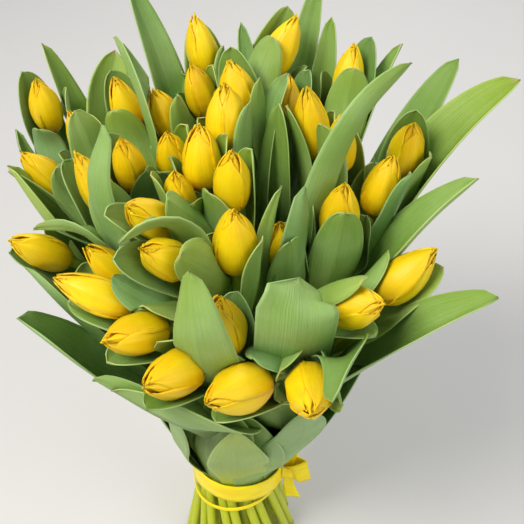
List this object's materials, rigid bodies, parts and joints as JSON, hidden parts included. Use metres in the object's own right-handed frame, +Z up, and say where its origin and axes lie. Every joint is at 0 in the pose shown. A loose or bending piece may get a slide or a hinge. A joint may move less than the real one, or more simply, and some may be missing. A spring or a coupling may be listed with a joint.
{
  "type": "bunch of tulips",
  "caption": "Tall hand-tied bunch of closed yellow tulips with broad grey-green leaves, round ribbon-tied stems that splay below the tie, standing on level-cut ends.",
  "frame": {"origin": "middle of the cut end of the centre stem, on the surface the bunch stands on", "axes": "+Z up along the centre stem, -Y towards the side the picture shows, +X to its right"},
  "size_m": [0.372, 0.3231, 0.516],
  "materials": {
    "leaf": "satin glaucous green leaf and stem",
    "petal": "satin yellow petal",
    "ribbon": "smooth yellow ribbon"
  },
  "bodies": {
    "root": {"bloom_01": "petal", "bloom_02": "petal", "bloom_03": "petal", "bloom_04": "petal", "bloom_05": "petal", "bloom_06": "petal", "bloom_07": "petal", "bloom_08": "petal", "bloom_09": "petal", "bloom_10": "petal", "bloom_11": "petal", "bloom_12": "petal", "bloom_13": "petal", "bloom_14": "petal", "bloom_15": "petal", "bloom_16": "petal", "bloom_17": "petal", "bloom_18": "petal", "bloom_19": "petal", "bloom_20": "petal", "bloom_21": "petal", "bloom_22": "petal", "bloom_23": "petal", "bloom_24": "petal", "bloom_25": "petal", "bloom_26": "petal", "bloom_27": "petal", "bloom_28": "petal", "bloom_29": "petal", "bloom_30": "petal", "bloom_31": "petal", "bloom_32": "petal", "bloom_33": "petal", "bloom_34": "petal", "bloom_35": "petal", "bloom_36": "petal", "bloom_37": "petal", "leafy_stems_0_1": "leaf", "leafy_stems_1_1": "leaf", "leafy_stems_1_2": "leaf", "leafy_stems_1_3": "leaf", "leafy_stems_2_1": "leaf", "leafy_stems_2_2": "leaf", "leafy_stems_2_3": "leaf", "leafy_stems_2_4": "leaf", "leafy_stems_2_5": "leaf", "leafy_stems_2_6": "leaf", "leafy_stems_3_1": "leaf", "leafy_stems_3_2": "leaf", "leafy_stems_3_3": "leaf", "leafy_stems_3_4": "leaf", "leafy_stems_3_5": "leaf", "leafy_stems_3_6": "leaf", "leafy_stems_3_7": "leaf", "leafy_stems_3_8": "leaf", "leafy_stems_3_9": "leaf", "ribbon_band": "ribbon", "ribbon_bow": "ribbon", "ribbon_cord": "ribbon"}
  },
  "joints": []
}
